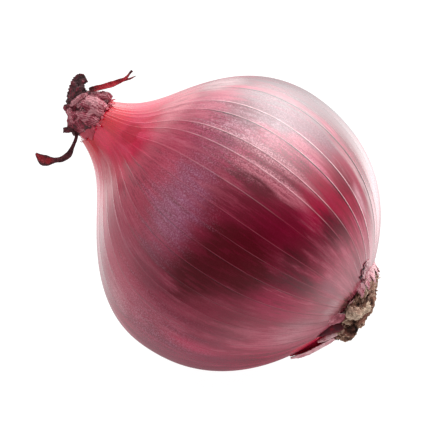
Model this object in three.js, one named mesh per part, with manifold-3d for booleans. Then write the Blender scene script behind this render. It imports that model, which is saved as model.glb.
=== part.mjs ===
// A red onion lying on its side: one bulb, its withered neck, two dry leaf strands,
// the root plate with root stubs, and a torn lip of the outer skin.
// Millimetres, +Z up. The onion rests on z = 0 with its neck raised towards -X.
// Each piece is made in the bulb's own upright frame: +Z from root to neck, z = 0 at the widest ring.

import * as THREE from "three";
import { mergeVertices } from "three/addons/utils/BufferGeometryUtils.js";
import Module from "manifold-3d";

// Bulb
const BELLY_RADIUS = 38;
const ROOT_SEAT = { radius: 9.6, depth: 36.4 };
const SHOULDER = { radius: 16.6, height: 30.2 };
const NECK = { radius: 6.1, height: 42.4 };
const NECK_LEAN = { x: 1.9, y: -2.2, from: 4 }; // how far the neck's end stands off the bulb's axis
const NECK_SLANT = 0.28; // the neck's end is aslant, lower towards -Y
const ROOT_LEAN = { x: 0.9, from: 8 }; // how far the root end stands off the axis
const OUT_OF_ROUND = 0.008;
const VEINS = { count: 26, height: 0.16, columns: 4 };
const PLEATS = { count: 13, depth: 0.35 };

// Pose on the table
const NECK_RISE = THREE.MathUtils.degToRad(28);
const ROLL = THREE.MathUtils.degToRad(35.8); // turned about its own axis
const REST_FLAT_DEPTH = 0.75;
const TABLE = { across: 200, thick: 20 };

// Small pieces
const GAP = 0.35; // clear space where two pieces meet
const TUFT = { height: 6.2, crumple: 0.16, leafEnds: 6, seed: 417 };
const ROOT_PLATE = { radius: 10, thickness: 3.6, shift: 2.2 };
const STUBS = { count: 52, radius: 0.95, shortest: 0.4, longest: 1.7, sides: 5, sunk: 1.1, seed: 52 };
const LEAF_THICKNESS = 0.8;
const GOLDEN_ANGLE = Math.PI * (3 - Math.sqrt(5));

const wasm = await Module();
wasm.setup();

// Closed mesh to solid and back.
function solidOf(geometry) {
  const bare = new THREE.BufferGeometry().setAttribute("position", geometry.getAttribute("position"));
  bare.setIndex(geometry.index);
  const merged = mergeVertices(bare, 1e-3);
  return new wasm.Manifold(
    new wasm.Mesh({
      numProp: 3,
      vertProperties: merged.getAttribute("position").array,
      triVerts: new Uint32Array(merged.index.array),
    }),
  );
}

function geometryOf(solid) {
  const mesh = solid.getMesh();
  const geometry = new THREE.BufferGeometry();
  geometry.setAttribute("position", new THREE.BufferAttribute(new Float32Array(mesh.vertProperties), 3));
  geometry.setIndex(new THREE.BufferAttribute(new Uint32Array(mesh.triVerts), 1));
  geometry.computeVertexNormals();
  return geometry;
}

// Moves every vertex of a geometry by a rule.
function reshape(geometry, rule) {
  const position = geometry.getAttribute("position");
  const point = new THREE.Vector3();
  for (let i = 0; i < position.count; i++) {
    rule(point.fromBufferAttribute(position, i));
    position.setXYZ(i, point.x, point.y, point.z);
  }
  return geometry;
}

// A lathe turned about +Z from points (radius, height) that run upwards.
function turned(points, columns) {
  return new THREE.LatheGeometry(points, columns).rotateX(Math.PI / 2);
}

// A repeatable random draw between low and high.
function seededDraw(seed) {
  let state = seed;
  return (low, high) => {
    state = (state * 16807) % 2147483647;
    return low + ((high - low) * state) / 2147483647;
  };
}

// The bulb's half outline: round belly, shoulder, then the hollow sweep into the neck.
function bulbOutline() {
  const path = new THREE.Path();
  path.moveTo(0, -ROOT_SEAT.depth);
  path.lineTo(ROOT_SEAT.radius, -ROOT_SEAT.depth);
  path.bezierCurveTo(25, -31.5, BELLY_RADIUS, -19.5, BELLY_RADIUS, 0);
  path.bezierCurveTo(BELLY_RADIUS, 14.5, 27.5, 23, SHOULDER.radius, SHOULDER.height);
  path.bezierCurveTo(11, 34, 8.2, 37, NECK.radius, NECK.height);
  path.lineTo(0, NECK.height);
  return path;
}

// Samples the outline so that each straight end is one step and each curve has its own count.
function outlinePoints(curveSteps) {
  const points = [];
  bulbOutline().curves.forEach((curve, i) => {
    const steps = curve.isLineCurve ? 1 : curveSteps[i - 1];
    points.push(...curve.getPoints(steps).slice(points.length ? 1 : 0));
  });
  return points;
}

// Bends the bulb's middle line towards the neck's end and the root, and cuts the neck's end aslant.
function bendAxis(point) {
  const neck = THREE.MathUtils.smoothstep(point.z, NECK_LEAN.from, NECK.height);
  const root = THREE.MathUtils.smoothstep(-point.z, ROOT_LEAN.from, ROOT_SEAT.depth);
  point.z += NECK_SLANT * point.y * neck ** 4;
  point.x += NECK_LEAN.x * neck + ROOT_LEAN.x * root;
  point.y += NECK_LEAN.y * neck;
}

// Veins stand out over the belly, pleats cut in at the neck, and the girth is a little out of round.
function growBulb(point) {
  const angle = Math.atan2(point.y, point.x);
  const radius = Math.hypot(point.x, point.y);
  if (radius > 1e-6) {
    const onSide = THREE.MathUtils.smoothstep(radius, ROOT_SEAT.radius, BELLY_RADIUS * 0.6);
    const atNeck = THREE.MathUtils.smoothstep(point.z, SHOULDER.height - 8, NECK.height);
    const vein = VEINS.height * Math.max(0, Math.cos(VEINS.count * angle)) * onSide;
    const pleat = PLEATS.depth * Math.cos(PLEATS.count * angle) * atNeck;
    const round = 1 + OUT_OF_ROUND * onSide * Math.cos(2 * angle + 0.9);
    const grown = (radius * round + vein + pleat) / radius;
    point.x *= grown;
    point.y *= grown;
  }
  bendAxis(point);
}

function bulbBody() {
  const points = outlinePoints([18, 15, 8]);
  return reshape(turned(points, VEINS.count * VEINS.columns), growBulb);
}

// The frame that lays the upright onion on the table.
function layDown() {
  const lying = new THREE.Group();
  lying.rotation.set(0, NECK_RISE - Math.PI / 2, ROLL);
  lying.position.z = BELLY_RADIUS - REST_FLAT_DEPTH;
  lying.updateMatrix();
  return lying;
}

// Takes off what would be under the table, which leaves the small flat spot that the bulb rests on.
function flattenFoot(geometry, lying) {
  const table = new THREE.BoxGeometry(TABLE.across, TABLE.across, TABLE.thick);
  table.translate(0, 0, -TABLE.thick / 2);
  table.applyMatrix4(lying.matrix.clone().invert());
  return geometryOf(solidOf(geometry).subtract(solidOf(table)));
}

// A dry leaf: a strip that follows points, with a width at each point, facing one way at its start
// and another at its end. Hollow is how far its edges rise above its middle.
function leaf({ points, widths, face, endFace = face, hollow = 0, steps = 12, thickness = LEAF_THICKNESS }) {
  const curve = new THREE.CatmullRomCurve3(points.map((p) => new THREE.Vector3(...p)));
  const widthCurve = new THREE.SplineCurve(widths.map((w, i) => new THREE.Vector2(i, w)));
  const from = new THREE.Vector3(...face);
  const to = new THREE.Vector3(...endFace);
  const strip = new THREE.BoxGeometry(1, 1, 1, steps, 4, 1);
  return reshape(strip, (point) => {
    const along = THREE.MathUtils.clamp(point.x + 0.5, 0, 1);
    const across = point.y;
    const through = point.z;
    const tangent = curve.getTangent(along);
    const normal = from.clone().lerp(to, along);
    normal.addScaledVector(tangent, -normal.dot(tangent)).normalize();
    const side = normal.clone().cross(tangent);
    const width = Math.max(widthCurve.getPoint(along).y, 0.3);
    point.copy(curve.getPoint(along));
    point.addScaledVector(side, across * width);
    point.addScaledVector(normal, through * thickness + hollow * 4 * across * across);
  });
}

function fused(geometries) {
  return geometryOf(geometries.map(solidOf).reduce((all, one) => all.add(one)));
}

// The withered leaf bases: a crumpled stub with dry leaf ends growing out of it.
function neckTuft() {
  const base = NECK.height + GAP;
  const top = base + TUFT.height;
  const outline = [
    [0, base],
    [5.5, base],
    [6.1, base + 0.25 * TUFT.height],
    [5.8, base + 0.5 * TUFT.height],
    [4.8, base + 0.75 * TUFT.height],
    [3.0, top],
    [0, top],
  ].map(([r, z]) => new THREE.Vector2(r, z));
  const stub = reshape(turned(outline, 36), (point) => {
    const angle = Math.atan2(point.y, point.x);
    const folds = Math.cos(5 * angle + 0.7 * (point.z - base)) + 0.6 * Math.cos(11 * angle - 0.5 * point.z);
    point.x *= 1 + TUFT.crumple * folds;
    point.y *= 1 + TUFT.crumple * folds;
    bendAxis(point);
  });
  const draw = seededDraw(TUFT.seed);
  const ends = [stub];
  for (let i = 0; i < TUFT.leafEnds; i++) {
    const angle = i * GOLDEN_ANGLE + 0.6;
    const out = [Math.cos(angle), Math.sin(angle)];
    const spread = draw(-1.2, 0.4);
    const length = draw(0.8, 2.2);
    const at = (r, z) => [NECK_LEAN.x + r * out[0], NECK_LEAN.y + r * out[1], z];
    ends.push(
      leaf({
        points: [at(3.4, base + 2.5), at(4.0, top - 1.5), at(3.6 + spread, top + length)],
        widths: [5.0, 4.4, 2.2],
        face: [out[0], out[1], 0.2],
        hollow: -0.5,
        steps: 5,
      }),
    );
  }
  // The tall hooked end on the upper side, a spike beside it, and a short stub low down.
  ends.push(
    leaf({
      points: [
        [4.4, -4.0, base + 3],
        [4.6, -4.6, 48.4],
        [6.1, -4.8, 50.0],
        [7.8, -4.9, 50.8],
        [9.3, -5.0, 49.9],
      ],
      widths: [5.0, 5.0, 3.8, 2.8, 1.8],
      face: [-0.2, -1, 0.3],
      endFace: [0.1, -1, 0.4],
      hollow: 0.35,
      steps: 10,
    }),
    leaf({
      points: [
        [1.4, -4.8, base + 3],
        [1.0, -5.6, 48.4],
        [0.5, -6.0, 50.4],
      ],
      widths: [4.6, 3.6, 0.8],
      face: [-0.2, -1, 0.1],
      hollow: 0.4,
      steps: 5,
    }),
    leaf({
      points: [
        [-1.2, -3.6, 45.0],
        [-2.9, -4.4, 45.7],
        [-4.4, -4.8, 47.2],
      ],
      widths: [2.6, 2.0, 1.7],
      face: [-0.3, -1, -0.4],
      hollow: 0.2,
      steps: 5,
    }),
  );
  return fused(ends);
}

// The red strip that leaves the tuft's upper side and forks at its tip.
function forkedStrand() {
  const face = [0.3, -1, 0.3];
  const strip = leaf({
    points: [
      [7.2, -6.3, 47.3],
      [8.7, -6.6, 46.0],
      [11.0, -6.2, 43.9],
      [13.2, -5.4, 42.5],
      [14.6, -5.0, 41.8],
      [16.0, -4.6, 41.6],
      [17.5, -4.4, 41.4],
    ],
    widths: [1.3, 1.5, 1.6, 1.3, 1.0, 0.6, 0.5],
    face,
    hollow: 0.25,
    steps: 20,
  });
  const whisker = leaf({
    points: [
      [14.2, -5.1, 41.9],
      [15.4, -4.8, 40.9],
      [16.9, -4.6, 40.0],
    ],
    widths: [0.8, 0.6, 0.4],
    face,
    steps: 6,
  });
  return fused([strip, whisker]);
}

// The dark strip that hangs from the tuft's lower side, with a small curled blade at its end.
function curledStrand() {
  return leaf({
    points: [
      [-4.8, -4.6, 43.5],
      [-6.6, -4.8, 43.1],
      [-8.8, -5.0, 42.8],
      [-11.4, -5.2, 43.8],
      [-13.0, -5.3, 45.3],
      [-14.0, -5.4, 47.2],
      [-13.6, -5.4, 49.7],
    ],
    widths: [0.9, 1.1, 1.5, 1.4, 1.7, 3.2, 1.2],
    face: [-0.5, -1, -0.2],
    endFace: [-0.1, -1, 0.3],
    hollow: 0.25,
    steps: 24,
  });
}

// The corky root plate: a lopsided dome with root stubs sunk into it in a sunflower spiral.
function rootPlate() {
  const seat = -ROOT_SEAT.depth - GAP;
  const { radius, thickness, shift } = ROOT_PLATE;
  const outline = [
    [0, seat - thickness],
    [0.6 * radius, seat - 0.92 * thickness],
    [0.88 * radius, seat - 0.62 * thickness],
    [radius, seat - 0.2 * thickness],
    [0.95 * radius, seat],
    [0, seat],
  ].map(([r, z]) => new THREE.Vector2(r, z));
  const grow = (point) => {
    const angle = Math.atan2(point.y, point.x);
    const rough = 1 + 0.03 * Math.cos(7 * angle + 1.1) + 0.025 * Math.cos(13 * angle);
    point.x *= rough;
    point.y *= rough;
    point.x -= (shift * (seat - point.z)) / thickness;
    bendAxis(point);
  };
  const draw = seededDraw(STUBS.seed);
  const pieces = [reshape(turned(outline, 30), grow)];
  for (let i = 0; i < STUBS.count; i++) {
    const share = Math.sqrt((i + 0.5) / STUBS.count);
    const angle = i * GOLDEN_ANGLE;
    const r = 0.88 * radius * share;
    const length = draw(STUBS.shortest, STUBS.longest);
    const lean = 0.9 * share + draw(-0.3, 0.3);
    const height = length + STUBS.sunk;
    const stub = new THREE.CylinderGeometry(0.6 * STUBS.radius, STUBS.radius, height, STUBS.sides);
    stub.rotateX(-Math.PI / 2).translate(0, 0, STUBS.sunk / 2 - length / 2);
    stub.rotateY(-lean).rotateZ(angle);
    const depth = thickness * (1 - 0.45 * share ** 4);
    const at = new THREE.Vector3(r * Math.cos(angle), r * Math.sin(angle), seat - depth);
    grow(at);
    pieces.push(stub.translate(at.x, at.y, at.z));
  }
  return fused(pieces);
}

// The torn lip: a strip of outer skin that lifts off the bulb beside the root plate.
function tornSkin() {
  return leaf({
    points: [
      [-19.5, -1.0, -32.5],
      [-16.1, -0.6, -35.0],
      [-13.4, -0.6, -36.9],
      [-11.2, -1.0, -38.4],
    ],
    widths: [1.6, 5.0, 5.2, 2.4],
    face: [-0.5, -0.25, -0.85],
    hollow: 0.35,
    steps: 14,
  });
}

const COLOURS = {
  bulb: new THREE.MeshStandardMaterial({ color: 0x7d2038, roughness: 0.42, metalness: 0 }),
  neck_tuft: new THREE.MeshStandardMaterial({ color: 0x7a4a4e, roughness: 0.85, metalness: 0 }),
  forked_strand: new THREE.MeshStandardMaterial({ color: 0x8e1a2a, roughness: 0.6, metalness: 0 }),
  curled_strand: new THREE.MeshStandardMaterial({ color: 0x553035, roughness: 0.75, metalness: 0 }),
  root_plate: new THREE.MeshStandardMaterial({ color: 0x94775f, roughness: 0.9, metalness: 0 }),
  torn_skin: new THREE.MeshStandardMaterial({ color: 0xd3909a, roughness: 0.55, metalness: 0 }),
};

const lying = layDown();
const pieces = {
  bulb: flattenFoot(bulbBody(), lying),
  neck_tuft: neckTuft(),
  forked_strand: forkedStrand(),
  curled_strand: curledStrand(),
  root_plate: rootPlate(),
  torn_skin: tornSkin(),
};
for (const [name, geometry] of Object.entries(pieces)) {
  const mesh = new THREE.Mesh(geometry, COLOURS[name]);
  mesh.name = name;
  lying.add(mesh);
}

// The origin is under the middle of the whole onion, on the table.
const onion = new THREE.Group();
onion.add(lying);
const middle = new THREE.Box3().setFromObject(onion, true).getCenter(new THREE.Vector3());
lying.position.x -= middle.x;
lying.position.y -= middle.y;

export default onion;
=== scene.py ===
"""A whole red onion lying on its side, with its withered neck, dry strands, root plate and torn skin."""

import math

import bpy
import numpy as np
from mathutils import Matrix, Vector


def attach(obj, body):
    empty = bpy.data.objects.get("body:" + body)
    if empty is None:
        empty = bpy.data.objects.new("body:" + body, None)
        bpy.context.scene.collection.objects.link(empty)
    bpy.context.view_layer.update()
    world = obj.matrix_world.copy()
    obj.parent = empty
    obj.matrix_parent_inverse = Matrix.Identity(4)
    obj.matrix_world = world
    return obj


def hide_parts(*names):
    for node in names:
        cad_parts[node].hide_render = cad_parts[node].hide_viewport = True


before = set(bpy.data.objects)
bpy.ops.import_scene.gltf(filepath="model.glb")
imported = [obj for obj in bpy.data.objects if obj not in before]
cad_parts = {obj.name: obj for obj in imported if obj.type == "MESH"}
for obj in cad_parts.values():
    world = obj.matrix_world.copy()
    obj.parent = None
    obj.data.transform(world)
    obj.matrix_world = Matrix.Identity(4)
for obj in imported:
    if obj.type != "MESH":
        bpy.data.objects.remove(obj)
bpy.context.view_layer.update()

# The bulb: one grown body in a tight, thin, dry red skin, drawn out into a pleated neck.
# The skin is glossy, with fine pale veins that run from root to neck, and it lies on its side.
# Every piece is drawn upright, in millimetres, with the belly's middle at the origin, and then laid down.
BELLY_RADIUS = 38.0
ROOT_SEAT = (9.6, -36.4)
SHOULDER = (16.6, 30.2)
NECK_END = (6.1, 42.4)
NECK_LEAN = (1.9, -2.2)
NECK_SLANT = 0.28
ROOT_LEAN = 0.9
OUT_OF_ROUND = 0.008
NECK_RISE = math.radians(28)
ROLL = math.radians(35.8)
REST_FLAT = 0.75
BELLY_MIDDLE = Vector((0.004224, 0.0, (BELLY_RADIUS - REST_FLAT) / 1000))
LAID_DOWN = (
    Matrix.Translation(BELLY_MIDDLE)
    @ Matrix.Rotation(NECK_RISE - math.pi / 2, 4, "Y")
    @ Matrix.Rotation(ROLL, 4, "Z")
    @ Matrix.Scale(0.001, 4)
)
VEINS = 42
VEIN_COLUMNS = np.array([0, 0.03, 0.08, 0.2, 0.35, 0.5, 0.65, 0.8, 0.92, 0.97])


def smooth(value, low, high):
    share = np.clip((value - low) / (high - low), 0, 1)
    return share * share * (3 - 2 * share)


def bezier(start, first, second, end, steps):
    t = np.linspace(0, 1, steps + 1)[:, None]
    start, first, second, end = (np.array(p, float) for p in (start, first, second, end))
    return (1 - t) ** 3 * start + 3 * (1 - t) ** 2 * t * first + 3 * (1 - t) * t**2 * second + t**3 * end


def bulb_outline():
    """Radius and height from under the root plate to inside the neck's end."""
    belly = (BELLY_RADIUS, 0.0)
    under = np.array([(3.0, -35.6), (6.5, -35.8), (8.6, -36.1)])
    lower = bezier(ROOT_SEAT, (25, -31.5), (BELLY_RADIUS, -19.5), belly, 60)
    upper = bezier(belly, (BELLY_RADIUS, 14.5), (27.5, 23), SHOULDER, 56)
    neck = bezier(SHOULDER, (11, 34), (8.2, 37), NECK_END, 34)
    inside = np.array([(5.3, 42.3), (2.5, 42.0)])
    return np.concatenate([under, lower, upper[1:], neck[1:], inside])


def bend_axis(points):
    """The neck's end leans off the axis and is aslant, and the root stands a little to the other side."""
    neck = smooth(points[..., 2], 4, NECK_END[1])
    root = smooth(-points[..., 2], 8, -ROOT_SEAT[1])
    points[..., 2] += NECK_SLANT * points[..., 1] * neck**4
    points[..., 0] += NECK_LEAN[0] * neck + ROOT_LEAN * root
    points[..., 1] += NECK_LEAN[1] * neck
    return points


def vein_angles():
    """Where each column of the skin stands: the veins are unevenly spaced, with close columns beside each."""
    draw = np.random.default_rng(7)
    veins = 2 * math.pi * (np.arange(VEINS) + draw.uniform(-0.3, 0.3, VEINS)) / VEINS
    ends = np.append(veins[1:], veins[0] + 2 * math.pi)
    return (veins[:, None] + VEIN_COLUMNS * (ends - veins)[:, None]).ravel()


def with_poles(values):
    """A value for every point of a shell: one for each point of its rings, and one for each closed end."""
    flat = values.reshape((-1,) + values.shape[2:])
    return np.concatenate([flat, values[:1].mean(axis=1), values[-1:].mean(axis=1)])


def shell_mesh(name, shells):
    """A mesh of closed shells. Each is a grid of points [ring, column], closed to a point at both ends,
    with a UV value for each column, and one more for the seam, and for each ring."""
    places, faces, corners = [], [], []
    start = 0
    for grid, u, v in shells:
        rings, columns = grid.shape[:2]
        ring, column = np.meshgrid(np.arange(rings - 1), np.arange(columns), indexing="ij")
        after = (column + 1) % columns
        first, second = ring * columns, (ring + 1) * columns
        quads = np.stack([first + column, first + after, second + after, second + column], axis=-1)
        around = ((column, ring), (column + 1, ring), (column + 1, ring + 1), (column, ring + 1))
        quad_uv = np.stack([np.stack([u[c], v[r]], -1) for c, r in around], axis=2)
        one = np.arange(columns)
        two = (one + 1) % columns
        last = (rings - 1) * columns
        low = np.stack([two, one, np.full(columns, rings * columns)], -1)
        high = np.stack([last + one, last + two, np.full(columns, rings * columns + 1)], -1)
        middle = (u[:-1] + u[1:]) / 2
        low_uv = [np.stack([part, np.full(columns, v[0])], -1) for part in (u[1:], u[:-1], middle)]
        high_uv = [np.stack([part, np.full(columns, v[-1])], -1) for part in (u[:-1], u[1:], middle)]
        places.append(with_poles(grid))
        faces += (quads.reshape(-1, 4) + start).tolist() + (low + start).tolist() + (high + start).tolist()
        corners += [quad_uv.reshape(-1, 2)]
        corners += [np.stack(part, axis=1).reshape(-1, 2) for part in (low_uv, high_uv)]
        start += rings * columns + 2
    mesh = bpy.data.meshes.new(name)
    mesh.from_pydata(np.concatenate(places).tolist(), [], faces)
    layer = mesh.uv_layers.new(name="UVMap")
    layer.data.foreach_set("uv", np.concatenate(corners).astype(np.float32).ravel())
    mesh.polygons.foreach_set("use_smooth", [True] * len(mesh.polygons))
    return mesh


def point_value(mesh, name, values, kind="FLOAT"):
    held = mesh.attributes.new(name, kind, "POINT")
    field = "vector" if kind == "FLOAT_VECTOR" else "value"
    number = np.int32 if kind == "INT" else np.float32
    held.data.foreach_set(field, np.asarray(values, number).ravel())


def piece_of(mesh):
    piece = bpy.data.objects.new(mesh.name, mesh)
    bpy.context.scene.collection.objects.link(piece)
    return piece


def skin_mesh():
    outline = bulb_outline()
    angle = vein_angles()
    radius, height = outline[:, 0][:, None], outline[:, 1][:, None]
    on_side = smooth(radius, ROOT_SEAT[0], BELLY_RADIUS * 0.6)
    round_by = 1 + OUT_OF_ROUND * on_side * np.cos(2 * angle + 0.9)
    points = np.stack(
        [radius * round_by * np.cos(angle), radius * round_by * np.sin(angle), height + 0 * angle], axis=-1
    )
    run = np.concatenate([[0], np.cumsum(np.linalg.norm(np.diff(outline, axis=0), axis=1))]) / BELLY_RADIUS
    every_ring = 0 * radius
    ways = [np.cos(angle) + every_ring, np.sin(angle) + every_ring, run[:, None] + 0 * angle]
    meridian = np.stack(ways, axis=-1)
    u = np.append((np.arange(VEINS)[:, None] + VEIN_COLUMNS).ravel(), VEINS) / VEINS
    mesh = shell_mesh("bulb_skin", [(bend_axis(points.copy()), u, run)])
    point_value(mesh, "meridian", with_poles(meridian), "FLOAT_VECTOR")
    point_value(mesh, "grown", with_poles(points / BELLY_RADIUS), "FLOAT_VECTOR")
    point_value(mesh, "girth", with_poles(radius / BELLY_RADIUS + 0 * angle))
    point_value(mesh, "panel_place", with_poles(np.tile(VEIN_COLUMNS, VEINS) + 0 * radius))
    panel = np.repeat(np.arange(VEINS), len(VEIN_COLUMNS))
    point_value(mesh, "panel", with_poles(panel + 0 * radius).round(), "INT")
    return mesh


def add(tree, kind, inputs=None, **settings):
    """A new node. Inputs go by name or number, and take a value or another node's output."""
    made = tree.nodes.new(kind)
    for name, value in settings.items():
        setattr(made, name, value)
    for place, value in (inputs or {}).items():
        if isinstance(value, bpy.types.NodeSocket):
            tree.links.new(value, made.inputs[place])
        else:
            made.inputs[place].default_value = value
    return made


def calc(tree, operation, a, b=0.0, c=0.0):
    return add(tree, "ShaderNodeMath", {0: a, 1: b, 2: c}, operation=operation).outputs[0]


def times(tree, a, b):
    return calc(tree, "MULTIPLY", a, b)


def faded(tree, value, low, high, first=0.0, last=1.0):
    """Goes smoothly from first to last as the value goes from low to high."""
    inputs = {"Value": value, "From Min": low, "From Max": high, "To Min": first, "To Max": last}
    return add(tree, "ShaderNodeMapRange", inputs, interpolation_type="SMOOTHSTEP").outputs[0]


def scaled(tree, vector, size):
    return add(tree, "ShaderNodeVectorMath", {0: vector, 1: size}, operation="MULTIPLY").outputs[0]


def toward(tree, vector, direction):
    dot = add(tree, "ShaderNodeVectorMath", {0: vector, 1: direction}, operation="DOT_PRODUCT")
    return dot.outputs["Value"]


def cloudy(tree, vector, scale=1.0, detail=3.0, roughness=0.5):
    inputs = {"Vector": vector, "Scale": scale, "Detail": detail, "Roughness": roughness}
    return add(tree, "ShaderNodeTexNoise", inputs).outputs["Fac"]


def colour(red, green, blue):
    """A colour as it looks on a screen, 0 to 255, in the linear values that a shader takes."""
    channels = [c / 255 for c in (red, green, blue)]
    return tuple(c / 12.92 if c < 0.04045 else ((c + 0.055) / 1.055) ** 2.4 for c in channels) + (1.0,)


def mixed(tree, share, first, second, way="MIX"):
    inputs = {0: share, 6: first, 7: second}
    return add(tree, "ShaderNodeMix", inputs, data_type="RGBA", blend_type=way).outputs[2]


def ramp(tree, value, *stops):
    """Colours that run into each other, each given as its place, red, green and blue."""
    made = add(tree, "ShaderNodeValToRGB", {0: value})
    band = made.color_ramp.elements
    for place, *tint in stops[1:-1]:
        band.new(place).color = colour(*tint)
    for end, (place, *tint) in ((band[0], stops[0]), (band[len(band) - 1], stops[-1])):
        end.position = place
        end.color = colour(*tint)
    return made.outputs[0]


def finish_tree(name):
    finish = bpy.data.materials.new(name)
    finish.use_nodes = True
    return finish, finish.node_tree, finish.node_tree.nodes["Principled BSDF"]


def held_value(tree, name, output="Fac"):
    return add(tree, "ShaderNodeAttribute", attribute_name=name).outputs[output]


def uv_place(tree):
    return add(tree, "ShaderNodeUVMap", uv_map="UVMap").outputs[0]


def near_place(tree, place, middle, inner, outer, ragged):
    """1 within the inner distance of a place and 0 past the outer one, with a ragged edge."""
    away = add(tree, "ShaderNodeVectorMath", {0: place, 1: middle}, operation="DISTANCE").outputs["Value"]
    return faded(tree, calc(tree, "ADD", away, ragged), inner, outer, 1.0, 0.0)


def vein_lines(tree, count, girth):
    """The pale line along each vein, the thin dark line beside it, which is partly painted shade of the
    vein's ridge, the number of the nearest vein, and the number of the panel between two veins and how far
    across it a spot is."""
    along = add(tree, "ShaderNodeSeparateXYZ", {0: uv_place(tree)})
    place = times(tree, along.outputs[0], float(count))
    number = calc(tree, "FLOOR", calc(tree, "ADD", place, 0.5))
    offset = times(tree, calc(tree, "SUBTRACT", place, number), girth)
    pale = faded(tree, calc(tree, "ABSOLUTE", offset), 0.01, 0.028, 1.0, 0.0)
    beside = calc(tree, "ABSOLUTE", calc(tree, "ADD", offset, 0.042))
    dark = faded(tree, beside, 0.014, 0.036, 1.0, 0.0)
    panel = calc(tree, "FLOOR", place)
    return pale, dark, calc(tree, "MODULO", number, float(count)), panel, calc(tree, "SUBTRACT", place, panel)


def chance(tree, number):
    return add(tree, "ShaderNodeTexWhiteNoise", {"W": number}, noise_dimensions="1D").outputs["Value"]


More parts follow.
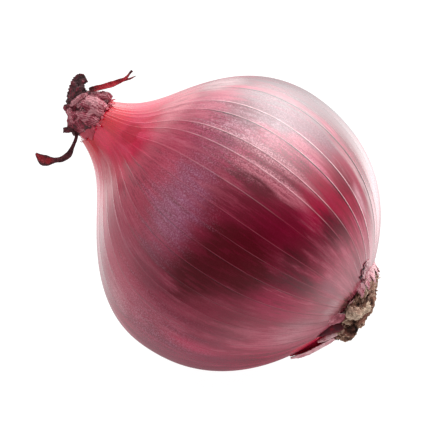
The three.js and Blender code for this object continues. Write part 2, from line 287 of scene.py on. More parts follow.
def red_skin():
    """Deep red skin in streaks from root to neck, with dark and pale patches, pale veins and fine grain."""
    finish, tree, shader = finish_tree("red_skin")
    meridian = held_value(tree, "meridian", "Vector")
    grown = held_value(tree, "grown", "Vector")
    girth = held_value(tree, "girth")
    object_place = add(tree, "ShaderNodeTexCoord").outputs["Object"]
    height = toward(tree, grown, (0, 0, 1))
    band = cloudy(tree, scaled(tree, meridian, (2.4, 2.4, 1.0)), detail=2)
    streak = cloudy(tree, scaled(tree, meridian, (11, 11, 2.2)), detail=4, roughness=0.6)
    hair = cloudy(tree, scaled(tree, meridian, (64, 64, 7)), detail=3, roughness=0.6)
    grain = cloudy(tree, object_place, scale=3000, detail=1)
    mottle = cloudy(tree, scaled(tree, meridian, (40, 40, 13)), detail=4, roughness=0.65)
    pale_vein, dark_vein, vein_number, panel_number, panel_place = vein_lines(tree, VEINS, girth)
    panel = calc(tree, "SUBTRACT", chance(tree, calc(tree, "ADD", panel_number, 0.37)), 0.5)
    ragged = times(tree, calc(tree, "SUBTRACT", streak, 0.5), 2.2)
    ragged = calc(tree, "MULTIPLY_ADD", calc(tree, "SUBTRACT", hair, 0.5), 1.2, ragged)
    ragged = calc(tree, "MULTIPLY_ADD", panel, 0.25, ragged)

    depth = calc(tree, "MULTIPLY_ADD", band, 0.42, times(tree, streak, 0.44))
    depth = calc(tree, "MULTIPLY_ADD", hair, 0.32, depth)
    depth = calc(tree, "MULTIPLY_ADD", panel, 0.03, depth)
    base = ramp(
        tree,
        depth,
        (0.48, 112, 0, 34),
        (0.56, 146, 4, 50),
        (0.62, 166, 20, 66),
        (0.7, 186, 72, 98),
    )

    parts = add(tree, "ShaderNodeSeparateXYZ", {0: meridian}).outputs

    def inside(angle, level, width, length, soft=0.6):
        """How far a spot is inside a patch round an angle and a height, with ends that run out in streaks."""
        inputs = {0: parts[0], 1: parts[1], 2: times(tree, height, width / length)}
        place = add(tree, "ShaderNodeCombineXYZ", inputs).outputs[0]
        turn = math.radians(angle)
        middle = (math.cos(turn), math.sin(turn), level * width / length)
        uneven = times(tree, ragged, width * min(1.0, 1.6 * soft))
        return near_place(tree, place, middle, (1 - soft) * width, (1 + soft) * width, uneven)

    streaky = faded(tree, hair, 0.36, 0.6, 0.45, 1.1)

    def patch(before, tint, share, *place):
        """The colour before it, with a soft patch of a tint laid over it."""
        share = times(tree, inside(*place), times(tree, streaky, share))
        return mixed(tree, share, before, tint)

    # Each patch: tint, how far it covers, angle, height, half width, half length and softness.
    belly_patches = [
        # the far side and the left flank
        ((118, 4, 40), 0.75, 90, -0.1, 1.1, 0.9),
        ((140, 46, 70), 0.75, -138, 0.2, 0.34, 0.5),
        ((128, 0, 54), 0.8, -166, -0.25, 0.3, 0.4),
        # the shoulder
        ((184, 56, 84), 0.9, -96, 0.6, 0.52, 0.18),
        ((140, 30, 68), 0.75, -62, 0.34, 0.3, 0.17),
        ((190, 36, 76), 0.6, -142, 0.45, 0.2, 0.3),
        ((190, 60, 92), 0.6, -94, 0.48, 0.2, 0.08),
        ((110, 34, 56), 1.1, -46, 0.26, 0.14, 0.12),
        ((190, 124, 136), 0.5, -128, -0.75, 0.25, 0.1),
        # the dark middle, and above it a pale mauve patch that is partly the skin's waxy bloom and partly a
        # painted highlight
        ((128, 0, 44), 1.1, -95, -0.12, 0.48, 0.42, 0.4),
        ((166, 72, 112), 0.85, -98, 0.28, 0.26, 0.15),
        ((126, 22, 48), 0.8, -124, -0.3, 0.26, 0.3),
        ((116, 0, 36), 1.2, -83, -0.28, 0.22, 0.31, 0.4),
        ((94, 0, 21), 1.5, -101, -0.2, 0.22, 0.25, 0.4),
        ((90, 0, 20), 1.3, -115, -0.05, 0.16, 0.14, 0.7),
        ((110, 10, 40), 0.5, -124, 0.18, 0.14, 0.14),
        ((156, 44, 70), 0.4, -124, -0.18, 0.09, 0.1),
        # towards the root
        ((100, 26, 42), 0.9, -97, -0.57, 0.11, 0.14),
        ((168, 14, 68), 0.9, -111, -0.6, 0.13, 0.18),
        ((160, 0, 50), 0.9, -54, -0.46, 0.32, 0.17, 0.4),
        ((98, 4, 32), 1.1, -68, -0.6, 0.12, 0.1),
        ((108, 10, 38), 0.6, -78, -0.6, 0.1, 0.12),
        # the right flank, in pale and dark strips
        ((200, 104, 122), 0.95, -69.5, -0.1, 0.06, 0.28, 0.35),
        ((200, 112, 128), 0.85, -61.5, -0.02, 0.045, 0.4, 0.4),
        ((108, 0, 32), 1.1, -74, -0.04, 0.06, 0.15, 0.4),
        ((138, 10, 46), 0.6, -47, -0.36, 0.08, 0.1),
        ((122, 84, 92), 1.0, -37, 0.08, 0.12, 0.36, 0.25),
        ((126, 50, 72), 0.75, -42, -0.15, 0.1, 0.4, 0.4),
        ((90, 54, 64), 1.0, -18, 0.0, 0.24, 0.5, 0.4),
        ((96, 10, 24), 0.6, -24, -0.36, 0.14, 0.22),
        ((206, 140, 154), 0.9, -43, -0.55, 0.04, 0.14),
        ((190, 146, 152), 0.9, -35, -0.55, 0.035, 0.2),
        ((150, 6, 52), 1.1, -42, -0.44, 0.06, 0.1, 0.4),
        ((110, 62, 74), 0.8, -47, 0.1, 0.07, 0.16, 0.4),
        ((200, 88, 116), 0.9, -52, -0.32, 0.035, 0.14, 0.4),
        # finer strips
        ((116, 18, 52), 0.5, -150, -0.3, 0.3, 0.3),
        ((192, 28, 80), 0.6, -146, -0.25, 0.06, 0.2),
        ((222, 190, 192), 0.5, -24, 0.54, 0.2, 0.1),
        ((118, 0, 34), 0.8, -48, -0.47, 0.09, 0.1),
        ((118, 12, 40), 0.65, -47, 0.28, 0.12, 0.14),
        ((84, 6, 24), 0.75, -90, -0.48, 0.08, 0.08),
        ((128, 30, 62), 0.5, -65, 0.27, 0.09, 0.09),
        ((214, 140, 150), 0.4, -151, 0.35, 0.14, 0.12),
        ((116, 20, 48), 0.3, -143, 0.02, 0.12, 0.12),
    ]
    for tint, *place in belly_patches:
        base = patch(base, colour(*tint), *place)

    # The neck's more saturated red and coral, and the bright coral patch at its top, are partly the skin's
    # own colour and partly painted glow of light through the thin skin.
    neck = faded(tree, calc(tree, "MULTIPLY_ADD", streak, 0.3, height), 0.76, 1.0)
    neck_tint = ramp(tree, streak, (0.35, 202, 6, 58), (0.5, 210, 32, 74), (0.65, 218, 58, 94))
    base = mixed(tree, neck, base, neck_tint)
    base = patch(base, colour(228, 124, 138), 0.6, -42, 0.7, 0.4, 0.07)
    top = faded(tree, calc(tree, "MULTIPLY_ADD", streak, 0.3, height), 1.06, 1.2)
    base = mixed(tree, top, base, ramp(tree, streak, (0.4, 200, 0, 26), (0.62, 222, 30, 60)))
    base = patch(base, colour(248, 30, 88), 0.75, -110, 1.05, 0.26, 0.1, 0.5)
    base = patch(base, colour(216, 134, 142), 0.65, -133, 0.85, 0.2, 0.12, 0.5)
    base = patch(base, colour(188, 0, 50), 1.8, -77, 0.893, 0.24, 0.055, 0.35)
    root = faded(tree, calc(tree, "MULTIPLY_ADD", streak, 0.25, height), -0.55, -0.85)
    root_tint = ramp(tree, streak, (0.35, 140, 40, 62), (0.65, 186, 104, 118))
    base = mixed(tree, times(tree, root, 0.75), base, root_tint)
    base = patch(base, colour(206, 120, 136), 0.4, -132, -0.78, 0.16, 0.08)
    base = patch(base, colour(114, 18, 42), 0.5, -69, -0.67, 0.08, 0.06)
    base = patch(base, colour(132, 48, 70), 0.65, -92, -0.775, 0.09, 0.06)
    base = patch(base, colour(206, 152, 158), 0.45, -106, -0.885, 0.18, 0.04)
    # Painted shade: a thin ring of the skin where it meets the root plate, on the near side, is darkened to a
    # dark brownish red for the shade in the crease there.
    seat = faded(tree, calc(tree, "MULTIPLY_ADD", streak, 0.05, height), -0.882, -0.905)
    seat = times(tree, seat, faded(tree, inside(-98, -0.94, 0.2, 0.2), 0.0, 1.0, 0.05, 1.0))
    base = mixed(tree, seat, base, colour(70, 14, 24))
    # Painted shade: a dark maroon patch beside the torn lip's fold, for the shade under the lifted skin.
    base = patch(base, colour(104, 14, 34), 1.2, -143, -0.932, 0.14, 0.03, 0.5)
    base = patch(base, colour(206, 0, 60), 1.6, -158, -0.885, 0.14, 0.06, 0.3)

    # Pale mauve mottling over the panels toward the upper side: partly pale dry skin, partly a painted
    # highlight that changes from panel to panel.
    painted_haze_zone = inside(-55, 0.14, 0.38, 0.4, 0.5)
    pale_skin_and_painted_haze = times(tree, faded(tree, mottle, 0.4, 0.6), faded(tree, panel, -0.15, 0.25, 0.05, 0.48))
    mid_panel = calc(tree, "ABSOLUTE", calc(tree, "SUBTRACT", panel_place, 0.5))
    pale_skin_and_painted_haze = times(tree, pale_skin_and_painted_haze, faded(tree, mid_panel, 0.3, 0.5, 1.0, 0.3))
    pale_skin_and_painted_haze = times(tree, pale_skin_and_painted_haze, inside(-54, 0.24, 0.28, 0.24, 0.5))
    base = mixed(tree, pale_skin_and_painted_haze, base, colour(198, 138, 154))
    # Two soft pale mauve zones, partly the skin's waxy bloom and partly a painted sheen; the pale and dark
    # grain dots are strongest in the painted haze and sheen zones, where they stand in part for the grainy
    # glint of the gloss.
    dust_and_sheen_zone = calc(tree, "MAXIMUM", inside(-97, 0.32, 0.3, 0.22), inside(-148, 0.15, 0.22, 0.45))
    dust_and_sheen = times(tree, faded(tree, grain, 0.42, 0.72), times(tree, dust_and_sheen_zone, 0.24))
    base = mixed(tree, dust_and_sheen, base, colour(196, 130, 156))
    grain_and_sheen_zone = calc(tree, "MAXIMUM", calc(tree, "MAXIMUM", painted_haze_zone, times(tree, dust_and_sheen_zone, 0.4)), 0.16)
    pale_dots = times(tree, faded(tree, grain, 0.46, 0.74), times(tree, grain_and_sheen_zone, 0.9))
    base = mixed(tree, pale_dots, base, (1.5, 3.0, 2.5, 1.0), "MULTIPLY")
    dark_dots = times(tree, faded(tree, grain, 0.54, 0.26), times(tree, grain_and_sheen_zone, 0.9))
    base = mixed(tree, dark_dots, base, (0.42, 0.15, 0.3, 1.0), "MULTIPLY")

    # Painted highlight and painted shade: the veins' pale and dark lines are drawn stronger on the side that
    # faces the light overhead at the right, and the pale lines are paler there.
    strength = faded(tree, hair, 0.35, 0.58, 0.35, 1.0)
    strength = times(tree, strength, faded(tree, height, 0.3, 0.65, 1.0, 0.05))
    toward_light_paint = faded(tree, toward(tree, grown, (0.9, -0.1, 0.2)), 0.05, 0.45, 0.5, 1.35)
    strength = times(tree, strength, toward_light_paint)
    strength = times(tree, strength, faded(tree, toward(tree, grown, (0, 1, 0)), -0.1, 0.5, 1.0, 0.4))
    darkness = faded(tree, chance(tree, calc(tree, "ADD", vein_number, 0.71)), 0.1, 0.7, 0.1, 1.0)
    darkness = times(tree, times(tree, dark_vein, darkness), strength)
    base = mixed(tree, darkness, base, colour(60, 8, 20))
    paleness = faded(tree, chance(tree, vein_number), 0.15, 0.8, 0.2, 0.95)
    paleness = times(tree, times(tree, pale_vein, paleness), strength)
    painted_vein_light = faded(tree, toward_light_paint, 0.6, 1.3)
    base = mixed(tree, paleness, base, mixed(tree, painted_vein_light, colour(184, 72, 96), colour(240, 176, 186)))
    tree.links.new(base, shader.inputs["Base Color"])

    rills = cloudy(tree, scaled(tree, meridian, (46, 46, 2.4)), detail=1)
    rills = times(tree, rills, faded(tree, girth, 0.45, 0.9, 0.06, 0.4))
    rills = calc(tree, "MULTIPLY_ADD", grain, 0.15, rills)
    relief = calc(tree, "MULTIPLY_ADD", pale_vein, 0.5, rills)
    ridges = add(tree, "ShaderNodeBump", {"Strength": 0.25, "Distance": 0.0002, "Height": relief})
    tree.links.new(ridges.outputs[0], shader.inputs["Normal"])
    rough = faded(tree, streak, 0.35, 0.65, -0.02, 0.02)
    rough = calc(tree, "ADD", faded(tree, grain, 0.3, 0.7, 0.2, 0.24), rough)
    tree.links.new(rough, shader.inputs["Roughness"])
    shader.inputs["Specular IOR Level"].default_value = 1.0
    return finish


def sized_tree(name, **sizes):
    """A node tree with one named input for each size, and its group's inputs."""
    tree = bpy.data.node_groups.new(name, "GeometryNodeTree")
    tree.interface.new_socket("Geometry", in_out="INPUT", socket_type="NodeSocketGeometry")
    for size, start in sizes.items():
        kind = "NodeSocketInt" if isinstance(start, int) else "NodeSocketFloat"
        socket = tree.interface.new_socket(size.replace("_", " "), in_out="INPUT", socket_type=kind)
        socket.default_value = start
    tree.interface.new_socket("Geometry", in_out="OUTPUT", socket_type="NodeSocketGeometry")
    return tree, add(tree, "NodeGroupInput").outputs


def close_tree(tree, geometry, finish):
    whole = add(tree, "GeometryNodeRealizeInstances", {"Geometry": geometry}).outputs[0]
    done = add(tree, "GeometryNodeSetMaterial", {"Geometry": whole, "Material": finish}).outputs[0]
    add(tree, "NodeGroupOutput", {"Geometry": done})
    return tree


def named(tree, name, kind="FLOAT"):
    return add(tree, "GeometryNodeInputNamedAttribute", {"Name": name}, data_type=kind).outputs[0]


def shifted(tree, geometry, vector, by):
    move = add(tree, "ShaderNodeVectorMath", {0: vector, "Scale": by}, operation="SCALE").outputs[0]
    return add(tree, "GeometryNodeSetPosition", {"Geometry": geometry, "Offset": move}).outputs[0]


def skin_growth(finish):
    """Raises the veins, leaves the skin between them a little hollow and tilted, and pleats the neck."""
    tree, given = sized_tree(
        "raise_veins",
        Vein_Height=0.015,
        Panel_Hollow=0.03,
        Panel_Tilt=0.03,
        Ripple_Height=0.1,
        Pleat_Depth=0.12,
        Seed=11,
    )
    girth = named(tree, "girth")
    on_belly = faded(tree, girth, 0.2, 0.6)
    place = named(tree, "panel_place")
    from_vein = calc(tree, "MINIMUM", place, calc(tree, "SUBTRACT", 1.0, place))
    ridge = times(tree, faded(tree, from_vein, 0.0, 0.08, 1.0, 0.0), given["Vein Height"])
    hollow = times(tree, faded(tree, from_vein, 0.0, 0.5), given["Panel Hollow"])
    number = named(tree, "panel", "INT")
    inputs = {2: -1.0, 3: 1.0, "ID": number, "Seed": given["Seed"]}
    lean = add(tree, "FunctionNodeRandomValue", inputs, data_type="FLOAT").outputs[1]
    tilt = times(tree, times(tree, lean, calc(tree, "SUBTRACT", place, 0.5)), given["Panel Tilt"])
    lift = calc(tree, "ADD", calc(tree, "SUBTRACT", ridge, hollow), tilt)
    lift = times(tree, lift, on_belly)
    meridian = named(tree, "meridian", "FLOAT_VECTOR")
    ripple = cloudy(tree, scaled(tree, meridian, (9, 9, 0.6)), detail=2)
    ripple = times(tree, calc(tree, "SUBTRACT", ripple, 0.5), faded(tree, girth, 0.2, 0.7, 0.2, 1.0))
    lift = calc(tree, "MULTIPLY_ADD", ripple, given["Ripple Height"], lift)
    pleat = cloudy(tree, scaled(tree, meridian, (14, 14, 0.5)), detail=1)
    at_neck = faded(tree, toward(tree, named(tree, "grown", "FLOAT_VECTOR"), (0, 0, 1)), 0.75, 1.05)
    pleat = times(tree, calc(tree, "SUBTRACT", pleat, 0.5), at_neck)
    lift = calc(tree, "MULTIPLY_ADD", pleat, given["Pleat Depth"], lift)
    normal = add(tree, "GeometryNodeInputNormal").outputs[0]
    return close_tree(tree, shifted(tree, given["Geometry"], normal, lift), finish)


def lay(mesh):
    """Lays a mesh down in its place, pressed flat where it would reach under the table."""
    mesh.transform(LAID_DOWN)
    places = np.empty(3 * len(mesh.vertices), np.float32)
    mesh.vertices.foreach_get("co", places)
    places[2::3] = np.maximum(places[2::3], 0)
    mesh.vertices.foreach_set("co", places)
    mesh.update()


def grown_piece(mesh, tree, **sizes):
    """The piece that a node tree makes of a mesh, laid down in its place. Sizes go to the tree's inputs."""
    piece = piece_of(mesh)
    modifier = piece.modifiers.new(tree.name, "NODES")
    modifier.node_group = tree
    for item in tree.interface.items_tree:
        size = item.name.replace(" ", "_")
        if size in sizes:
            modifier[item.identifier] = sizes[size]
    ready = piece.evaluated_get(bpy.context.evaluated_depsgraph_get())
    made = bpy.data.meshes.new_from_object(ready)
    piece.modifiers.remove(modifier)
    piece.data = made
    bpy.data.meshes.remove(mesh)
    made.name = piece.name
    lay(made)
    return piece


bulb_skin = grown_piece(skin_mesh(), skin_growth(red_skin()))
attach(bulb_skin, "root")
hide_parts("bulb")

# The root plate: the corky end of the stem, grown into the bulb, with the stubs of its dried roots.
# It is tan and grey-brown and crumbles, and strips of dry skin from the bulb lie over its rim.
PLATE_OUTLINE = [
    (1.6, -3.6),
    (4.0, -3.5),
    (6.0, -3.3),
    (7.6, -2.7),
    (8.8, -1.8),
    (9.7, -0.8),
    (10.0, 0.1),
    (9.4, 0.7),
    (7.0, 0.9),
    (3.0, 1.0),
]
LUMPS = [
    ((-1.6, -9.2, -38.2), 2.0),
    ((0.9, -9.0, -37.6), 1.1),
    ((-5.2, -7.4, -40.2), 1.7),
    ((-0.2, -8.2, -39.6), 1.2),
    ((1.4, -7.0, -40.1), 1.4),
]
LUMP_TONES = [0.66, -0.25, -0.2, 0.3, 0.55]
PLATE_SEAT = -37.3
PLATE_THICKNESS = 3.2
PLATE_SHIFT = 2.2
PLATE_DROOP = 1.0
STUB_LENGTH = 0.7
STUB_RADIUS = 0.45
LAYER_STRIPS = 130
FRINGE_STRIPS = 18


def through(points, places):
    """A smooth line through points, read at places counted in points from the first one."""
    points = np.asarray(points, float)
    padded = np.concatenate([2 * points[:1] - points[1:2], points, 2 * points[-1:] - points[-2:-1]])
    number = np.clip(np.floor(places).astype(int), 0, len(points) - 2)
    t = (places - number)[:, None]
    before, start, end, after = (padded[number + i] for i in range(4))
    bend = (2 * before - 5 * start + 4 * end - after) * t**2 + (3 * start - before - 3 * end + after) * t**3
    return start + 0.5 * ((end - before) * t + bend)


def plate_mesh():
    rings, columns = 46, 120
    outline = through(PLATE_OUTLINE, np.linspace(0, len(PLATE_OUTLINE) - 1, rings))
    angle = 2 * math.pi * np.arange(columns) / columns
    radius, level = outline[:, 0][:, None], outline[:, 1][:, None]
    radius = radius * (1 + 0.035 * np.sin(3 * angle + 0.6) + 0.03 * np.sin(7 * angle + 2.0))
    x = radius * np.cos(angle) + ROOT_LEAN + PLATE_SHIFT * np.minimum(level, 0) / PLATE_THICKNESS
    height = PLATE_SEAT + level + 0.25 * np.sin(5 * angle + 1.0) + 0.15 * np.sin(11 * angle)
    height -= PLATE_DROOP * smooth(-x, -7, 0) * np.clip(-level / PLATE_THICKNESS, 0, 1)
    points = np.stack([x, radius * np.sin(angle), height], axis=-1)
    return points, np.arange(columns + 1) / columns, np.linspace(0, 1, rings)


def lump(middle, size, rings=30, columns=48):
    """A rounded clod of cork, longer along the plate's side."""
    polar = math.pi * (np.arange(rings) + 0.5)[:, None] / rings
    angle = 2 * math.pi * np.arange(columns) / columns
    x = np.sin(polar) * np.cos(angle)
    y = 0.8 * np.sin(polar) * np.sin(angle)
    ball = np.stack([x, y, -np.cos(polar) + 0 * angle], axis=-1)
    return np.array(middle) + size * ball, np.arange(columns + 1) / columns, np.linspace(0, 1, rings)


def cork():
    """Crumbly cork: beige where it stands proud and dark brown in its hollows as painted shade, and pinkish
    in patches.
    """
    finish, tree, shader = finish_tree("root_cork")
    place = add(tree, "ShaderNodeTexCoord").outputs["Object"]
    proud = held_value(tree, "proud")
    patches = cloudy(tree, place, scale=260, detail=2)
    round_rim = scaled(tree, uv_place(tree), (9, 46, 1))
    layers = cloudy(tree, round_rim, detail=3, roughness=0.6)
    crumbs = cloudy(tree, place, scale=1300, detail=5, roughness=0.72)
    grit = cloudy(tree, place, scale=4200, detail=2)
    # Proud places paler and hollows darker: painted shade in the hollows. Each lump also has a tone of its
    # own.
    value = calc(tree, "MULTIPLY_ADD", crumbs, 0.5, times(tree, proud, 0.55))
    value = calc(tree, "MULTIPLY_ADD", grit, 0.12, value)
    value = calc(tree, "MULTIPLY_ADD", calc(tree, "SUBTRACT", layers, 0.5), 0.45, value)
    base = ramp(
        tree,
        value,
        (0.42, 30, 15, 12),
        (0.54, 86, 54, 43),
        (0.65, 142, 102, 83),
        (0.79, 216, 188, 166),
    )
    pink = times(tree, faded(tree, patches, 0.5, 0.62), 0.4)
    base = mixed(tree, pink, base, colour(176, 112, 98))
    tree.links.new(base, shader.inputs["Base Color"])
    relief = calc(tree, "MULTIPLY_ADD", grit, 0.35, crumbs)
    bump = add(tree, "ShaderNodeBump", {"Strength": 0.7, "Distance": 0.0004, "Height": relief})
    tree.links.new(bump.outputs[0], shader.inputs["Normal"])
    tree.links.new(faded(tree, grit, 0.3, 0.7, 0.75, 0.95), shader.inputs["Roughness"])
    shader.inputs["Specular IOR Level"].default_value = 0.25
    return finish


def noisy_move(tree, scale, seed, stretch=1.0):
    """A value about 0 and a vector about 0 from one drift of noise through the piece. A stretch less
    than 1 draws the noise out along the onion."""
    place = scaled(tree, add(tree, "GeometryNodeInputPosition").outputs[0], (1, 1, stretch))
    inputs = {"Vector": place, "W": seed, "Scale": scale, "Detail": 2.0}
    drift = add(tree, "ShaderNodeTexNoise", inputs, noise_dimensions="4D")
    half = (0.5, 0.5, 0.5)
    vector = add(tree, "ShaderNodeVectorMath", {0: drift.outputs["Color"], 1: half}, operation="SUBTRACT")
    return calc(tree, "SUBTRACT", drift.outputs["Fac"], 0.5), vector.outputs[0]


def kept(tree, geometry, name, value):
    inputs = {"Geometry": geometry, "Name": name, "Value": value}
    return add(tree, "GeometryNodeStoreNamedAttribute", inputs, data_type="FLOAT", domain="POINT").outputs[0]


def crumble_tree(finish):
    """Breaks a smooth crust into lumps and grit, and keeps how far each point stands proud."""
    tree, given = sized_tree(
        "crumble", Lump_Depth=2.6, Lump_Scale=0.4, Grit_Depth=1.2, Grit_Scale=1.9, Seed=3.0
    )
    lumps, _ = noisy_move(tree, given["Lump Scale"], given["Seed"])
    grit, grit_way = noisy_move(tree, given["Grit Scale"], given["Seed"])
    normal = add(tree, "GeometryNodeInputNormal").outputs[0]
    depth = times(tree, lumps, given["Lump Depth"])
    depth = calc(tree, "MULTIPLY_ADD", grit, given["Grit Depth"], depth)
    proud = calc(tree, "ADD", calc(tree, "MULTIPLY_ADD", depth, 0.6, 0.5), named(tree, "clod"))
    crust = kept(tree, given["Geometry"], "proud", proud)
    crust = shifted(tree, crust, normal, depth)
    return close_tree(tree, shifted(tree, crust, grit_way, given["Grit Depth"]), finish)


def turned(across, along, out):
    """The turn that takes a strip's own width, length and face to given ways."""
    return Matrix((across, along, out)).transposed().to_euler()


def strip_tree(finish, name):
    """Lays a thin, curled and ragged strip at every point, turned and sized as the point says."""
    tree, given = sized_tree(
        name, Width=1.0, Length=3.0, Thickness=0.14, Curl=0.5, Crumple_Depth=0.6, Crumple_Scale=0.9, Seed=5.0
    )
    size = add(
        tree, "ShaderNodeCombineXYZ", {0: given["Width"], 1: given["Length"], 2: given["Thickness"]}
    ).outputs[0]
    inputs = {"Size": size, "Vertices X": 5, "Vertices Y": 12, "Vertices Z": 2}
    strip = add(tree, "GeometryNodeMeshCube", inputs).outputs[0]
    spot = add(tree, "ShaderNodeSeparateXYZ", {0: add(tree, "GeometryNodeInputPosition").outputs[0]}).outputs
    share = calc(tree, "ADD", calc(tree, "DIVIDE", spot[1], given["Length"]), 0.5)
    strip = kept(tree, kept(tree, strip, "tip", share), "proud", 0.5)
    narrow = calc(tree, "SUBTRACT", 1.0, times(tree, calc(tree, "POWER", share, 2.5), 0.8))
    side = calc(tree, "DIVIDE", spot[0], times(tree, given["Width"], 0.5))
    rise = times(tree, times(tree, side, side), times(tree, given["Width"], -0.18))
    rise = calc(tree, "MULTIPLY_ADD", times(tree, share, share), given["Curl"], rise)
    inputs = {
        0: times(tree, spot[0], narrow),
        1: times(tree, share, given["Length"]),
        2: calc(tree, "ADD", times(tree, spot[2], narrow), rise),
    }
    shape = add(tree, "ShaderNodeCombineXYZ", inputs).outputs[0]
    strip = add(tree, "GeometryNodeSetPosition", {"Geometry": strip, "Position": shape}).outputs[0]
    inputs = {
        "Points": given["Geometry"],
        "Instance": strip,
        "Rotation": named(tree, "turn", "FLOAT_VECTOR"),
        "Scale": named(tree, "size", "FLOAT_VECTOR"),
    }
    laid = add(tree, "GeometryNodeInstanceOnPoints", inputs).outputs[0]
    laid = add(tree, "GeometryNodeRealizeInstances", {"Geometry": laid}).outputs[0]
    _, way = noisy_move(tree, given["Crumple Scale"], given["Seed"])
    laid = shifted(tree, laid, way, given["Crumple Depth"])
    laid = add(tree, "GeometryNodeSetShadeSmooth", {"Geometry": laid}).outputs[0]
    return close_tree(tree, laid, finish)


def strip_points(name, spots):
    """A point for each strip, from (place, width way, length way, size, tone)."""
    mesh = bpy.data.meshes.new(name)
    mesh.from_pydata([tuple(place) for place, *_ in spots], [], [])
    turns = []
    for _, across, along, _, _ in spots:
        along = Vector(along).normalized()
        out = Vector(across).cross(along).normalized()
        turns.append(turned(along.cross(out), along, out))
    point_value(mesh, "turn", turns, "FLOAT_VECTOR")
    point_value(mesh, "size", [size for *_, size, _ in spots], "FLOAT_VECTOR")
    point_value(mesh, "tone", [tone for *_, tone in spots])
    return mesh


def dry_skin(name, stops, edge, specular=0.4, ribs=95.0, lining=None, tips=None):
    """Dry, papery leaf: ribs along it, blotches, creases painted dark as shade, a broken edge, and each
    leaf's own tone.
    A lining is the tint of its inner face toward its end, and tips the tint of both its ends."""
    finish, tree, shader = finish_tree(name)
    place = add(tree, "ShaderNodeTexCoord").outputs["Object"]
    tone = held_value(tree, "tone")
    tip = held_value(tree, "tip")
    proud = held_value(tree, "proud")
    across = add(tree, "ShaderNodeSeparateXYZ", {0: uv_place(tree)}).outputs
    blotch = cloudy(tree, place, scale=520, detail=4, roughness=0.62)
    fine = cloudy(tree, place, scale=2600, detail=3, roughness=0.6)
    waver = calc(tree, "MULTIPLY_ADD", blotch, 9.0, times(tree, across[0], ribs))
    rib = calc(tree, "MULTIPLY_ADD", calc(tree, "SINE", waver), 0.5, 0.5)
    value = calc(tree, "MULTIPLY_ADD", calc(tree, "SUBTRACT", blotch, 0.5), 1.3, tone)
    value = calc(tree, "MULTIPLY_ADD", calc(tree, "SUBTRACT", fine, 0.5), 0.35, value)
    value = calc(tree, "MULTIPLY_ADD", calc(tree, "SUBTRACT", rib, 0.5), 0.22, value)
    # Painted shade: low creases darker and raised folds paler.
    value = calc(tree, "MULTIPLY_ADD", calc(tree, "SUBTRACT", proud, 0.5), 0.8, value)
    base = ramp(tree, value, *stops)
    inward = calc(tree, "MINIMUM", across[0], calc(tree, "SUBTRACT", 1.0, across[0]))
    inward = calc(tree, "MULTIPLY_ADD", blotch, 0.12, inward)
    if lining:
        tint, start = lining
        lined = times(tree, faded(tree, inward, 0.2, 0.32), faded(tree, across[1], start, start + 0.08))
        lined = times(tree, lined, faded(tree, blotch, 0.4, 0.56, 0.3, 1.0))
        lined = times(tree, lined, faded(tree, rib, 0.1, 0.6, 0.45, 1.0))
        base = mixed(tree, lined, base, tint)
    rim = faded(tree, inward, 0.07, 0.1, 0.7, 0.0)
    frayed = calc(tree, "MULTIPLY_ADD", blotch, 0.5, tip)
    rim = calc(tree, "MAXIMUM", rim, faded(tree, frayed, 1.05, 1.25, 0.0, 0.7))
    base = mixed(tree, rim, base, edge)
    if tips:
        ends = calc(tree, "MULTIPLY_ADD", blotch, 0.2, across[1])
        ends = calc(tree, "MAXIMUM", faded(tree, ends, 0.9, 1.02), faded(tree, ends, 0.3, 0.16))
        base = mixed(tree, times(tree, ends, 0.85), base, tips)
    tree.links.new(base, shader.inputs["Base Color"])
    relief = calc(tree, "MULTIPLY_ADD", rib, 0.5, fine)
    bump = add(tree, "ShaderNodeBump", {"Strength": 0.6, "Distance": 0.00025, "Height": relief})
    tree.links.new(bump.outputs[0], shader.inputs["Normal"])
    tree.links.new(faded(tree, fine, 0.3, 0.7, 0.45, 0.7), shader.inputs["Roughness"])
    shader.inputs["Specular IOR Level"].default_value = specular
    return finish


